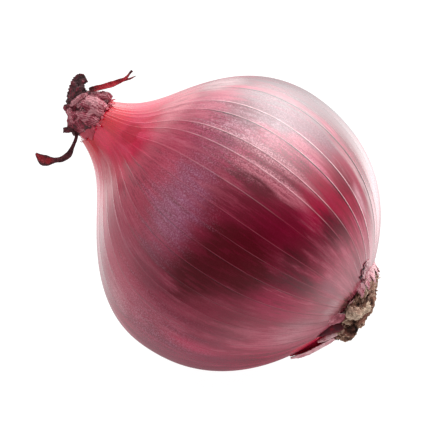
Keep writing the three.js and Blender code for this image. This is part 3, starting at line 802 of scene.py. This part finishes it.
def stub_tree(finish):
    """Scatters the stubs of dried roots over the outer side of the crust, bent and uneven."""
    tree, given = sized_tree("root_stubs", Length=STUB_LENGTH, Radius=STUB_RADIUS, Density=0.16, Seed=21)
    spot = add(tree, "GeometryNodeInputPosition").outputs[0]
    below = calc(tree, "LESS_THAN", toward(tree, spot, (0, 0, 1)), PLATE_SEAT - 2.2)
    inputs = {
        "Mesh": given["Geometry"],
        "Selection": below,
        "Density": given["Density"],
        "Seed": given["Seed"],
    }
    spread = add(tree, "GeometryNodeDistributePointsOnFaces", inputs)
    inputs = {
        "Vertices": 7,
        "Side Segments": 5,
        "Radius Top": times(tree, given["Radius"], 0.6),
        "Radius Bottom": given["Radius"],
        "Depth": given["Length"],
    }
    stub = add(tree, "GeometryNodeMeshCone", inputs).outputs[0]
    rise = toward(tree, spot, (0, 0, 1))
    stub = kept(tree, stub, "proud", faded(tree, rise, 0.0, given["Length"], 0.2, 0.62))
    lean = times(tree, times(tree, rise, rise), 0.16)
    bend = add(tree, "ShaderNodeCombineXYZ", {0: lean, 2: -0.4}).outputs[0]
    stub = add(tree, "GeometryNodeSetPosition", {"Geometry": stub, "Offset": bend}).outputs[0]
    inputs = {0: (-0.5, -0.5, 0.0), 1: (0.5, 0.5, 6.28), "Seed": given["Seed"]}
    twist = add(tree, "FunctionNodeRandomValue", inputs, data_type="FLOAT_VECTOR").outputs[0]
    inputs = {"Rotation": spread.outputs["Rotation"], "Rotate By": twist}
    turn = add(tree, "FunctionNodeRotateRotation", inputs, rotation_space="LOCAL").outputs[0]
    inputs = {0: (0.5, 0.5, 0.3), 1: (1.3, 1.3, 1.25), "Seed": given["Seed"]}
    size = add(tree, "FunctionNodeRandomValue", inputs, data_type="FLOAT_VECTOR").outputs[0]
    inputs = {"Points": spread.outputs["Points"], "Instance": stub, "Rotation": turn, "Scale": size}
    grown = add(tree, "GeometryNodeInstanceOnPoints", inputs).outputs[0]
    grown = add(tree, "GeometryNodeRealizeInstances", {"Geometry": grown}).outputs[0]
    _, way = noisy_move(tree, 1.1, 8.0)
    return close_tree(tree, shifted(tree, grown, way, 0.7), finish)


def plate_side(angle, level):
    """A place on the plate's side, at a level from its seat, and the way out from it."""
    outline = np.array(PLATE_OUTLINE[:7])
    radius = np.interp(level, outline[:, 1], outline[:, 0])
    way = np.array([math.cos(angle), math.sin(angle), 0])
    shift = ROOT_LEAN + PLATE_SHIFT * min(level, 0) / PLATE_THICKNESS
    return way * radius + [shift, 0, PLATE_SEAT + level], way


def rim_spots():
    """Broken layers of old skin that lie round the plate's side."""
    draw = np.random.default_rng(64)
    spots = []
    for _ in range(LAYER_STRIPS):
        angle = draw.uniform(0, 2 * math.pi)
        place, way = plate_side(angle, draw.uniform(-2.8, 0.2))
        round_by = np.array([-math.sin(angle), math.cos(angle), 0])
        along = round_by + [0, 0, draw.uniform(-0.3, 0.3)] - 0.12 * way
        size = (draw.uniform(0.25, 0.8), draw.uniform(0.4, 1.3), 1.0)
        spots.append((place + draw.uniform(0.1, 0.5) * way, (0, 0, -1), along, size, draw.uniform(0.0, 0.9)))
    return spots


def fringe_spots():
    """The frayed end of the bulb's own skin: tongues of it that lie over the plate's rim."""
    draw = np.random.default_rng(31)
    spots = []
    for number in range(FRINGE_STRIPS):
        angle = 2 * math.pi * (number + draw.uniform(-0.9, 0.9)) / FRINGE_STRIPS
        way = np.array([math.cos(angle), math.sin(angle), 0])
        round_by = np.array([-math.sin(angle), math.cos(angle), 0])
        place = way * draw.uniform(10.6, 12.0) + [ROOT_LEAN, 0, -36.1]
        along = -0.93 * way + [0, 0, -0.4] + round_by * draw.uniform(-1.2, 1.2)
        size = (draw.uniform(0.3, 1.1), draw.uniform(0.3, 0.9), 0.6)
        spots.append((place, round_by, along, size, draw.uniform(0.0, 0.6)))
    return spots


def crust_mesh(name, lumps):
    shells = [plate_mesh()] + [lump(*each) for each in lumps]
    mesh = shell_mesh(name, shells)
    counts = [grid.shape[0] * grid.shape[1] + 2 for grid, _, _ in shells]
    point_value(mesh, "clod", np.repeat([0.0] + LUMP_TONES[: len(lumps)], counts))
    return mesh


cork_finish = cork()
root_crust = grown_piece(crust_mesh("root_crust", LUMPS), crumble_tree(cork_finish))
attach(root_crust, "root")
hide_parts("root_plate")
root_stubs = grown_piece(crust_mesh("root_stubs", []), stub_tree(cork_finish))
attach(root_stubs, "root")
rim_finish = dry_skin(
    "rim_skin",
    [
        (0.15, 48, 27, 22),
        (0.4, 88, 56, 46),
        (0.6, 146, 100, 84),
        (0.85, 206, 168, 148),
    ],
    colour(168, 130, 112),
    0.3,
)
root_rim = grown_piece(
    strip_points("root_rim", rim_spots()), strip_tree(rim_finish, "rim_strips"), Curl=0.15, Crumple_Depth=0.45
)
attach(root_rim, "root")
fringe_finish = dry_skin(
    "fringe_skin",
    [
        (0.1, 92, 36, 46),
        (0.4, 140, 62, 78),
        (0.65, 182, 116, 126),
        (0.95, 222, 184, 182),
    ],
    colour(190, 140, 136),
    0.5,
)
root_fringe = grown_piece(
    strip_points("root_fringe", fringe_spots()),
    strip_tree(fringe_finish, "fringe_strips"),
    Curl=0.2,
    Crumple_Depth=0.5,
)
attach(root_fringe, "root")

# The torn skin: beside the root plate the outer skin is torn open and its lip curls off the bulb.
# It is thin, dry skin, pale pink at the lip, and the wet dark red of the next skin shows inside.
# Ragged strips of the same skin hang over the edge of the root plate.
LIP = dict(
    spine=[
        (-19.8, -1.6, -32.0),
        (-17.3, -1.4, -34.0),
        (-14.2, -1.3, -35.8),
        (-11.8, -1.5, -37.0),
        (-9.4, -1.8, -38.3),
    ],
    widths=[1.2, 3.4, 3.8, 3.6, 2.4],
    faces=[(-0.5, -0.3, -0.82)],
)
FOLD = dict(
    spine=[(-12.6, -3.4, -35.4), (-11.0, -3.9, -36.5), (-9.4, -4.3, -37.5), (-6.8, -5.2, -39.0)],
    widths=[0.7, 1.5, 1.5, 1.0],
    faces=[(-0.35, -0.8, -0.5)],
)
TONGUE = dict(
    spine=[(-6.7, -12.4, -34.3), (-5.6, -11.1, -35.6), (-4.8, -9.9, -36.6), (-4.2, -9.0, -37.4)],
    widths=[3.4, 4.4, 4.2, 3.0],
    faces=[(-0.35, -0.6, -0.72)],
)
# Painted shade: a flap of skin over the plate's rim beside the fold, toned near-black maroon for the shade
# there.
COVER_IN_PAINTED_SHADE = dict(
    spine=[(-11.6, -8.4, -34.2), (-8.8, -8.3, -36.1), (-7.0, -8.0, -37.6), (-5.4, -7.4, -38.9)],
    widths=[0.6, 2.6, 2.8, 1.6],
    faces=[(-0.5, -0.8, -0.4)],
)
INNER = dict(
    spine=[
        (-19.4, -1.4, -31.4),
        (-16.6, -1.5, -33.3),
        (-13.8, -1.6, -34.9),
        (-11.0, -1.9, -36.3),
        (-8.2, -2.6, -37.8),
    ],
    widths=[0.8, 2.6, 3.2, 3.2, 2.4],
    faces=[(-0.4, -0.85, -0.35)],
)
# Each step of a strip's course: turn back in degrees, distance out, height, and share of the strip's reach.
HANGING_COURSE = [(0, 11.9, -35.0, 0.0), (1, 10.9, -36.2, 0.0), (4, 10.4, -36.7, 0.5), (9, 10.0, -36.8, 1.0)]
HANGING_WIDTHS = [2.6, 3.0, 2.0, 0.4]
# Each strip: angle round the plate, reach down its side, and tone.
HANGING_STRIPS = [
    (-4, 1.5, 0.6),
    (-13, 0.9, 0.72),
    (-22, 1.9, 0.6),
    (-31, 1.0, 0.76),
    (-39, 2.1, 0.58),
    (-47, 1.1, 0.7),
    (-55, 1.7, 0.5),
    (-63, 0.8, 0.62),
    (-70, 1.2, 0.42),
    (7, 0.9, 0.5),
    (18, 1.6, 0.42),
    (30, 0.7, 0.5),
    (43, 1.2, 0.38),
    (57, 0.5, 0.34),
]


def leaf_shell(spine, widths, faces, thickness=0.3, hollow=0.0, ragged=0.0, rows=44, columns=11, seed=1):
    """A closed, thin leaf along a spine. Hollow bends its edges forward, or back if less than 0."""
    draw = np.random.default_rng(seed)
    places = np.linspace(0, len(spine) - 1, rows)
    line = through(spine, places)
    width = np.maximum(through(np.array(widths)[:, None], places)[:, 0], 0.12)
    stops = np.linspace(0, len(spine) - 1, len(faces))
    face = np.stack([np.interp(places, stops, np.array(faces)[:, i]) for i in range(3)], axis=-1)
    run = np.gradient(line, axis=0)
    run /= np.linalg.norm(run, axis=1, keepdims=True)
    side = np.cross(run, face)
    side /= np.linalg.norm(side, axis=1, keepdims=True)
    face = np.cross(side, run)
    across = np.linspace(-1, 1, columns)
    edges = 1 - ragged * draw.uniform(0, 1, (2, rows))
    reach = np.where(across < 0, edges[0][:, None], edges[1][:, None])
    reach = 1 + (reach - 1) * np.abs(across) ** 3
    off = across * reach * width[:, None] / 2
    rise = hollow * width[:, None] * across**2
    middle = line[:, None] + side[:, None] * off[..., None] + face[:, None] * rise[..., None]
    half = face[:, None] * (thickness / 2 * (1 - 0.7 * across**2))[:, None]
    grid = np.concatenate([middle + half, (middle - half)[:, ::-1]], axis=1)
    u = (across + 1) / 2
    out = np.repeat(face[:, None], 2 * columns, axis=1)
    return (grid, np.concatenate([u, u[::-1], u[:1]]), places / places[-1]), out


def leaves_mesh(name, leaves, core=None, core_tone=0.0):
    """One mesh of leaves, each with a tone of its own. A core may stand inside."""
    made = [leaf_shell(**{key: value for key, value in leaf.items() if key != "tone"}) for leaf in leaves]
    tones = [leaf["tone"] for leaf in leaves]
    if core:
        made.append(core)
        tones.append(core_tone)
    shells = [shell for shell, _ in made]
    mesh = shell_mesh(name, shells)
    point_value(mesh, "tone", np.repeat(tones, [grid.shape[0] * grid.shape[1] + 2 for grid, _, _ in shells]))
    point_value(mesh, "face", np.concatenate([with_poles(out) for _, out in made]), "FLOAT_VECTOR")
    return mesh


def crumple_tree(finish, name):
    """Crumples thin leaves: broad folds, sharp creases, and fine wrinkles on them."""
    tree, given = sized_tree(
        name,
        Fold_Depth=1.2,
        Fold_Scale=0.3,
        Crease_Depth=1.3,
        Crease_Scale=0.5,
        Wrinkle_Depth=0.9,
        Wrinkle_Scale=1.4,
        Seed=2.0,
    )
    _, folds = noisy_move(tree, given["Fold Scale"], given["Seed"])
    crease, _ = noisy_move(tree, given["Crease Scale"], given["Seed"])
    wrinkle, _ = noisy_move(tree, given["Wrinkle Scale"], given["Seed"], 0.35)
    lift = times(tree, calc(tree, "ABSOLUTE", crease), times(tree, given["Crease Depth"], -2.0))
    rough = times(tree, calc(tree, "ABSOLUTE", wrinkle), times(tree, given["Wrinkle Depth"], 2.0))
    lift = calc(tree, "ADD", calc(tree, "ADD", lift, rough), times(tree, given["Crease Depth"], 0.2))
    # How far each point stands out is kept as proud, and the finish darkens the low creases by it as painted
    # shade.
    shown = calc(tree, "MULTIPLY_ADD", lift, 0.8, 0.5)
    leaf = kept(tree, given["Geometry"], "proud", shown)
    leaf = shifted(tree, leaf, named(tree, "face", "FLOAT_VECTOR"), lift)
    return close_tree(tree, shifted(tree, leaf, folds, given["Fold Depth"]), finish)


lip_finish = dry_skin(
    "pale_skin",
    [(0.1, 104, 24, 42), (0.3, 168, 78, 94), (0.5, 210, 130, 144), (0.8, 234, 190, 194)],
    colour(238, 206, 206),
)
lip_leaves = [
    dict(LIP, thickness=0.35, hollow=0.08, ragged=0.2, seed=3, tone=0.6),
    dict(FOLD, thickness=0.35, hollow=-0.2, ragged=0.2, seed=5, tone=0.75),
    dict(TONGUE, thickness=0.25, hollow=-0.1, ragged=0.2, seed=9, tone=0.29),
]
for number, (angle, reach, tone) in enumerate(HANGING_STRIPS):
    spine = []
    for turn, radius, height, share in HANGING_COURSE:
        way = math.radians(angle - turn)
        spine.append((radius * math.cos(way) + ROOT_LEAN, radius * math.sin(way), height - share * reach))
    face = (math.cos(math.radians(angle)), math.sin(math.radians(angle)), -0.6)
    strip = dict(spine=spine, widths=HANGING_WIDTHS, faces=[face])
    lip_leaves.append(dict(strip, thickness=0.16, hollow=-0.04, ragged=0.5, seed=20 + number, tone=tone))
torn_lip = grown_piece(
    leaves_mesh("torn_lip", lip_leaves),
    crumple_tree(lip_finish, "crumple_lip"),
    Fold_Depth=0.4,
    Crease_Depth=0.3,
    Wrinkle_Depth=0.2,
)
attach(torn_lip, "root")
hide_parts("torn_skin")
inner_finish = dry_skin(
    "inner_skin",
    [(0.0, 70, 10, 26), (0.25, 124, 6, 36), (0.5, 206, 0, 58), (0.8, 214, 30, 76)],
    colour(140, 6, 40),
)
inner_leaves = [
    dict(INNER, thickness=0.3, hollow=-0.1, ragged=0.1, seed=4, tone=0.6),
    # The flap beside the fold takes the darkest tone, as painted shade.
    dict(COVER_IN_PAINTED_SHADE, thickness=0.25, hollow=-0.12, ragged=0.15, seed=6, tone=0.05),
]
torn_inside = grown_piece(
    leaves_mesh("torn_inside", inner_leaves),
    crumple_tree(inner_finish, "crumple_inside"),
    Fold_Depth=0.3,
    Crease_Depth=0.2,
    Wrinkle_Depth=0.1,
)
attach(torn_inside, "root")

# The split skin: beside the root plate the outer skin has dried and cracked along a jagged line.
# A near-black sliver laid along the crack is painted shade in it, and the torn edge beside it is pale and
# stands off the bulb.
CRACK = [
    (10.8, -33.8),
    (9.6, -33.8),
    (9.1, -34.4),
    (8.2, -34.1),
    (7.1, -34.9),
    (6.5, -34.6),
    (6.4, -35.4),
    (5.7, -36.2),
]
CRACK_FACE = (0.45, -0.7, -0.5)
CRACK_SHADE_WIDTHS = [0.12, 0.25, 0.36, 0.3, 0.4, 0.36, 0.4, 0.3]
EDGE_WIDTHS = [0.15, 0.7, 0.9, 0.9, 1.0, 0.9, 0.8, 0.5]


def on_skin(spots, out):
    """Points a little out from the skin, on the bulb's near side below its belly, from across and up."""
    outline = bulb_outline()[3:64]
    points = []
    for x, z in spots:
        radius = np.interp(z, outline[:, 1], outline[:, 0]) + out
        points.append((x, -math.sqrt(radius**2 - (x - ROOT_LEAN) ** 2), z))
    return points


split_finish = dry_skin(
    "split_skin",
    [(0.0, 48, 4, 16), (0.3, 110, 30, 46), (0.6, 206, 142, 152), (0.9, 230, 184, 188)],
    colour(150, 74, 88),
)
beside_crack = [(x + 0.75, z - 0.35) for x, z in CRACK]
split_leaves = [
    # Painted shade: the near-black sliver along the crack.
    dict(spine=on_skin(CRACK, 0.25), widths=CRACK_SHADE_WIDTHS, faces=[CRACK_FACE], thickness=0.2, tone=-0.1),
    dict(spine=on_skin(beside_crack, 0.2), widths=EDGE_WIDTHS, faces=[CRACK_FACE], thickness=0.2, tone=0.75),
]
split_skin = grown_piece(
    leaves_mesh("split_skin", split_leaves),
    crumple_tree(split_finish, "crumple_split"),
    Fold_Depth=0.2,
    Crease_Depth=0.1,
    Wrinkle_Depth=0.1,
)
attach(split_skin, "root")

# The neck tuft: the withered bases of the leaves above the neck, dried, crumpled and pressed together.
# The outer ones are mauve and papery, the inner ones dark brown, and torn shreds lie over the neck below.
TUFT_MIDDLE = (1.9, -2.2)
FRONT_LEAVES = [
    dict(  # the wrinkled outer leaf
        spine=[(5.4, -7.0, 41.0), (5.4, -8.1, 42.8), (5.1, -7.9, 45.2), (4.1, -7.2, 48.0)],
        widths=[5.0, 6.2, 6.0, 5.0],
        faces=[(0.4, -1, -0.1), (0.25, -1, 0.25)],
        hollow=-0.2,
        tone=0.78,
    ),
    dict(  # the dark leaf under it
        spine=[(1.7, -7.6, 40.8), (1.2, -8.2, 42.6), (0.6, -7.8, 44.6), (0.2, -6.8, 46.6)],
        widths=[3.4, 4.6, 4.4, 3.4],
        faces=[(-0.3, -1, -0.1), (-0.2, -1, 0.1)],
        hollow=-0.18,
        tone=0.64,
    ),
    dict(  # the fold that lies across
        spine=[(1.2, -6.6, 49.2), (2.8, -7.8, 48.7), (4.6, -8.0, 48.0), (6.4, -7.0, 47.3)],
        widths=[1.0, 1.6, 1.5, 0.8],
        faces=[(0.1, -1, 0.3)],
        hollow=-0.25,
        tone=0.85,
    ),
    dict(  # the torn corner beside it
        spine=[(6.2, -6.9, 46.2), (7.7, -6.8, 44.8), (8.6, -6.2, 43.2), (8.7, -5.4, 41.6)],
        widths=[1.8, 2.6, 2.6, 1.8],
        faces=[(0.6, -1, 0.2)],
        hollow=-0.15,
        tone=0.72,
    ),
    dict(  # the hooked lobe
        spine=[
            (4.2, -4.6, 45.75),
            (4.3, -5.6, 48.2),
            (5.7, -5.7, 50.0),
            (7.6, -5.5, 50.8),
            (9.2, -5.3, 50.0),
        ],
        widths=[6.4, 6.6, 5.2, 3.8, 2.4],
        faces=[(0, -1, 0.2)],
        hollow=0.06,
        tone=0.22,
    ),
    dict(  # the leaf behind the hook
        spine=[(1.6, -5.0, 46.5), (2.4, -5.5, 48.8), (3.9, -5.4, 50.4), (5.6, -5.2, 51.4)],
        widths=[4.4, 4.2, 3.2, 1.6],
        faces=[(-0.1, -1, 0.1)],
        hollow=-0.1,
        tone=0.2,
    ),
    dict(  # the pointed leaf beside it
        spine=[(1.2, -5.2, 45.5), (0.8, -6.2, 48.2), (0.4, -6.2, 50.4)],
        widths=[5.0, 4.0, 1.0],
        faces=[(-0.2, -1, 0.1)],
        hollow=-0.15,
        tone=0.4,
    ),
    dict(  # the side leaf
        spine=[(-1.6, -6.2, 42.8), (-1.5, -7.1, 44.8), (-0.6, -7.2, 46.9), (0.3, -6.4, 49.0)],
        widths=[3.4, 3.9, 3.6, 2.0],
        faces=[(-0.4, -1, 0)],
        hollow=-0.15,
        tone=0.6,
    ),
    dict(  # the low stub
        spine=[(-0.6, -5.2, 44.6), (-2.2, -5.6, 45.2), (-3.6, -5.6, 46.2), (-4.6, -5.4, 47.4)],
        widths=[3.0, 2.4, 1.9, 1.6],
        faces=[(-0.2, -1, -0.2)],
        hollow=0.2,
        tone=0.32,
    ),
]
BACK_LEAVES = 9
SHREDS = 34
CORE_TONE = 0.36


def back_leaves():
    """The same withered leaves on the side away from the picture."""
    draw = np.random.default_rng(417)
    leaves = []
    for number in range(BACK_LEAVES):
        angle = math.radians(-5 + 205 * (number + draw.uniform(-0.3, 0.3)) / (BACK_LEAVES - 1))
        way = np.array([math.cos(angle), math.sin(angle)])
        low = 42.2 + NECK_SLANT * 6.1 * way[1] * 0.9 - draw.uniform(0.2, 0.9) - 1.8 * min(0, way[0])
        tall = draw.uniform(47.2, 49.6)
        spine = []
        for share, out in ((0, 6.0), (0.35, 6.3), (0.7, 5.4), (1, draw.uniform(2.6, 4.6))):
            x, y = np.array(TUFT_MIDDLE) + out * (1 - 0.2 * max(0, -way[0])) * way
            spine.append((x, y, low + share * (tall - low)))
        wide = draw.uniform(3.6, 5.4)
        leaves.append(
            dict(
                spine=spine,
                widths=[wide, 1.1 * wide, 0.9 * wide, 0.4 * wide],
                faces=[(way[0], way[1], -0.1), (way[0], way[1], 0.4)],
                hollow=-0.18,
                tone=draw.uniform(0.2, 0.7),
            )
        )
    return leaves


def tuft_core():
    """The pressed heart of the tuft, under its outer leaves."""
    rings, columns = 30, 60
    line = [(5.4, 42.0), (5.6, 43.6), (5.4, 45.4), (4.8, 47.0), (3.4, 48.4), (1.2, 48.9)]
    outline = through(line, np.linspace(0, len(line) - 1, rings))
    angle = 2 * math.pi * np.arange(columns) / columns
    radius, height = outline[:, 0][:, None], outline[:, 1][:, None]
    folds = 1 + 0.07 * np.sin(7 * angle + 0.5 * height) + 0.04 * np.sin(13 * angle - 0.8 * height)
    x = radius * folds * np.cos(angle) + TUFT_MIDDLE[0]
    y = radius * folds * np.sin(angle) + TUFT_MIDDLE[1]
    near_neck = smooth(46 - height, 0, 4)
    raised = NECK_SLANT * radius * np.sin(angle) + 1.7 * smooth(-np.cos(angle), -0.2, 0.8)
    level = height + near_neck * raised
    shell = np.stack([x, y, level], axis=-1), np.arange(columns + 1) / columns, np.linspace(0, 1, rings)
    out = np.stack([np.cos(angle) + 0 * radius, np.sin(angle) + 0 * radius, 0 * radius + 0 * angle], axis=-1)
    return shell, out


def shred_spots():
    """Small torn shreds along the edge where the tuft lies on the neck, palest on the upper side."""
    draw = np.random.default_rng(90)
    spots = []
    for number in range(SHREDS):
        angle = 2 * math.pi * (number + draw.uniform(-0.5, 0.5)) / SHREDS
        way = np.array([math.cos(angle), math.sin(angle), 0])
        round_by = np.array([-math.sin(angle), math.cos(angle), 0])
        start = way * 6.5 + [TUFT_MIDDLE[0], TUFT_MIDDLE[1], 42.6 + NECK_SLANT * 6.1 * way[1]]
        along = way * draw.uniform(0.2, 0.5) + [0, 0, -1] + round_by * draw.uniform(-0.8, 0.8)
        size = np.array([draw.uniform(0.2, 1.2), draw.uniform(0.2, 1.0), 1.0]) * (1 - 0.7 * max(0, -way[0]))
        pale = 0.5 * max(0.0, math.cos(angle + 0.5))
        spots.append((start, -round_by, along, size, draw.uniform(0.05, 0.45) + pale))
    spots.append(((0.6, -8.1, 40.0), (1, 0.1, 0), (-0.1, 0.3, 1), (3.0, 0.8, 1.5), 0.1))
    spots.append(((-1.2, -7.9, 40.0), (0.95, -0.3, 0), (-0.15, 0.35, 1), (3.4, 1.1, 1.5), 0.1))
    spots.append(((-2.7, -6.4, 41.2), (0.75, -0.65, 0), (-0.1, 0.3, 1), (3.0, 0.9, 1.5), 0.1))
    return spots


leaf_finish = dry_skin(
    "withered_leaf",
    [
        (0.0, 34, 14, 18),
        (0.2, 92, 66, 69),
        (0.42, 108, 66, 71),
        (0.6, 142, 46, 64),
        (0.75, 180, 84, 102),
        (0.98, 214, 148, 156),
    ],
    colour(112, 54, 62),
    specular=0.25,
    ribs=58.0,
)
tuft_leaves = []
for number, leaf in enumerate(FRONT_LEAVES + back_leaves()):
    tuft_leaves.append(dict(leaf, thickness=0.32, ragged=0.22, rows=60, columns=17, seed=40 + number))
neck_leaves = grown_piece(
    leaves_mesh("neck_leaves", tuft_leaves, tuft_core(), CORE_TONE),
    crumple_tree(leaf_finish, "crumple_leaves"),
)
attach(neck_leaves, "root")
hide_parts("neck_tuft")
shred_finish = dry_skin(
    "neck_shreds",
    [(0.1, 186, 16, 46), (0.4, 206, 62, 82), (0.7, 226, 130, 146), (0.95, 246, 212, 214)],
    colour(206, 96, 112),
)
neck_shreds = grown_piece(
    strip_points("neck_shreds", shred_spots()),
    strip_tree(shred_finish, "neck_strips"),
    Width=0.9,
    Length=2.2,
    Curl=0.3,
)
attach(neck_shreds, "root")

# The forked strand: a strip of dry red leaf that leaves the tuft on its upper side and forks at the tip.
# It dried while it curled away, so it is narrow, hollow and stiff, brown at its start and dark at its tips.
FORKED = dict(
    spine=[
        (7.2, -6.3, 47.3),
        (8.7, -6.6, 46.0),
        (11.0, -6.2, 43.9),
        (13.2, -5.4, 42.5),
        (14.6, -5.0, 41.8),
        (16.0, -4.6, 41.6),
        (17.5, -4.4, 41.4),
    ],
    widths=[1.4, 1.7, 1.8, 1.4, 1.0, 0.6, 0.7],
    faces=[(0.3, -1, 0.3)],
)
WHISKER = dict(
    spine=[(14.0, -5.15, 42.0), (15.4, -4.8, 40.9), (16.9, -4.6, 40.0)],
    widths=[0.7, 0.5, 0.2],
    faces=[(0.3, -1, 0.3)],
)
strand_finish = dry_skin(
    "red_dry_leaf",
    [(0.1, 84, 6, 20), (0.4, 152, 8, 30), (0.65, 190, 22, 44), (0.9, 216, 84, 92)],
    colour(86, 12, 26),
    tips=colour(66, 26, 32),
)
forked_leaves = [
    dict(FORKED, thickness=0.4, hollow=0.25, ragged=0.12, rows=70, columns=9, seed=7, tone=0.5),
    dict(WHISKER, thickness=0.3, hollow=0.2, ragged=0.05, rows=30, columns=7, seed=8, tone=0.25),
]
forked_strand = grown_piece(
    leaves_mesh("forked_leaf", forked_leaves),
    crumple_tree(strand_finish, "crumple_forked"),
    Fold_Depth=0.5,
    Crease_Depth=0.3,
    Wrinkle_Depth=0.3,
)
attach(forked_strand, "root")
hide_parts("forked_strand")

# The curled strand: a strip of dry dark leaf that hangs off the tuft's lower side.
# It is a stiff, twisted ribbon that ends in a small cupped blade, red on its inner face.
CURLED = dict(
    spine=[
        (-2.0, -4.8, 44.8),
        (-4.2, -4.9, 43.7),
        (-6.6, -4.8, 43.0),
        (-8.8, -5.0, 42.7),
        (-10.8, -5.2, 43.4),
        (-12.1, -5.3, 44.8),
        (-13.5, -5.4, 46.9),
        (-13.3, -5.4, 49.7),
    ],
    widths=[1.2, 0.9, 1.0, 1.6, 1.5, 1.4, 2.9, 0.5],
    faces=[(-0.5, -1, -0.2), (-0.1, -1, 0.3)],
)
curl_finish = dry_skin(
    "dark_dry_leaf",
    [(0.1, 40, 16, 22), (0.4, 80, 36, 44), (0.65, 118, 56, 64), (0.9, 150, 78, 86)],
    colour(70, 30, 38),
    lining=(colour(188, 34, 48), 0.71),
)
curled_leaves = [
    dict(CURLED, thickness=0.4, hollow=0.22, ragged=0.06, rows=80, columns=15, seed=9, tone=0.45),
]
curled_strand = grown_piece(
    leaves_mesh("curled_leaf", curled_leaves),
    crumple_tree(curl_finish, "crumple_curled"),
    Fold_Depth=0.5,
    Crease_Depth=0.3,
    Wrinkle_Depth=0.25,
)
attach(curled_strand, "root")
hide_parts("curled_strand")

# The table: a plain white top that the onion lies on, wide enough for every side that it is seen from.
# It glows of itself, so that it stays an even white under the soft light.
FLOOR_HALF = 3.0
corners = [(FLOOR_HALF * x, FLOOR_HALF * y, 0) for x, y in ((-1, -1), (1, -1), (1, 1), (-1, 1))]
floor_mesh = bpy.data.meshes.new("table_top")
floor_mesh.from_pydata(corners, [], [(0, 1, 2, 3)])
floor = piece_of(floor_mesh)
floor_finish, _, floor_shader = finish_tree("white_table")
floor_shader.inputs["Base Color"].default_value = (0.08, 0.08, 0.08, 1)
floor_shader.inputs["Roughness"].default_value = 0.8
floor_shader.inputs["Specular IOR Level"].default_value = 0.2
floor_shader.inputs["Emission Color"].default_value = (1, 1, 1, 1)
floor_shader.inputs["Emission Strength"].default_value = 0.99
floor_mesh.materials.append(floor_finish)
floor.visible_glossy = False

# The camera looks down at the onion from the front, a little to the root's side.
# It stands well back with a long lens, so the onion keeps its true proportions.
AZIMUTH = math.radians(20.7)
ELEVATION = math.radians(30)
DISTANCE = 0.57
FIELD = 0.1132
AIM = Vector((0.00239, 0.00033, 0.03607))
to_camera = Vector(
    (
        math.sin(AZIMUTH) * math.cos(ELEVATION),
        -math.cos(AZIMUTH) * math.cos(ELEVATION),
        math.sin(ELEVATION),
    )
)
camera_data = bpy.data.cameras.new("camera")
camera_data.sensor_width = 36
camera_data.lens = 36 * DISTANCE / FIELD
camera_data.clip_start = 0.01
camera = bpy.data.objects.new("camera", camera_data)
camera.location = AIM + DISTANCE * to_camera
camera.rotation_euler = to_camera.to_track_quat("Z", "Y").to_euler()
bpy.context.scene.collection.objects.link(camera)
bpy.context.scene.camera = camera

# The light: two broad softboxes overhead at the right, dimmer ones at the left, bright strips on the wall
# behind, and the glow of the white table from below. Each glow has a direction, as right, up and towards
# the camera in the picture, a sharpness and a brightness.
SKY_GLOWS = [
    ((0.48, 0.86, 0.18), 11.0, 5.4),  # softbox overhead at the right
    ((0.32, 0.84, -0.44), 6.9, 4.3),  # softbox overhead and behind
    ((-0.31, 0.8, 0.51), 4.0, 0.57),  # dim panel overhead in front
    ((-0.36, 0.72, -0.6), 20.0, 0.5),  # small panel overhead at the left
    ((-0.87, 0.11, 0.47), 9.7, 0.6),  # dim panel at the left
    ((0.54, 0.12, -0.84), 24.0, 3.2),  # strip on the wall behind, at the right
    ((-0.42, 0.18, -0.9), 22.0, 1.8),  # strip on the wall behind, at the left
    ((0.83, -0.42, -0.36), 11.6, 1.2),  # table behind the root
    ((-0.79, -0.32, -0.53), 4.5, 0.72),  # table behind the neck
    ((0.31, -0.94, -0.14), 5.3, 0.62),  # table under the onion
]
RIGHT = Vector((math.cos(AZIMUTH), math.sin(AZIMUTH), 0))
UP = to_camera.cross(RIGHT)
sky = bpy.data.worlds.new("studio_sky")
sky.use_nodes = True
sky_tree = sky.node_tree
looking = add(sky_tree, "ShaderNodeTexCoord").outputs["Generated"]


def sky_glow(direction, sharpness, brightness):
    """A soft glow round a direction: the sharper, the smaller."""
    across, up, near = direction
    way = (across * RIGHT + up * UP + near * to_camera).normalized()
    away = calc(sky_tree, "MULTIPLY_ADD", toward(sky_tree, looking, tuple(way)), sharpness, -sharpness)
    return times(sky_tree, calc(sky_tree, "EXPONENT", away), brightness)


glow = sky_glow(*SKY_GLOWS[0])
for each in SKY_GLOWS[1:]:
    glow = calc(sky_tree, "ADD", glow, sky_glow(*each))
backdrop = sky_tree.nodes["Background"]
sky_tree.links.new(glow, backdrop.inputs["Strength"])
backdrop.inputs["Color"].default_value = (1, 1, 1, 1)
bpy.context.scene.world = sky
bpy.context.scene.view_settings.view_transform = "Standard"
bpy.context.scene.view_settings.look = "None"
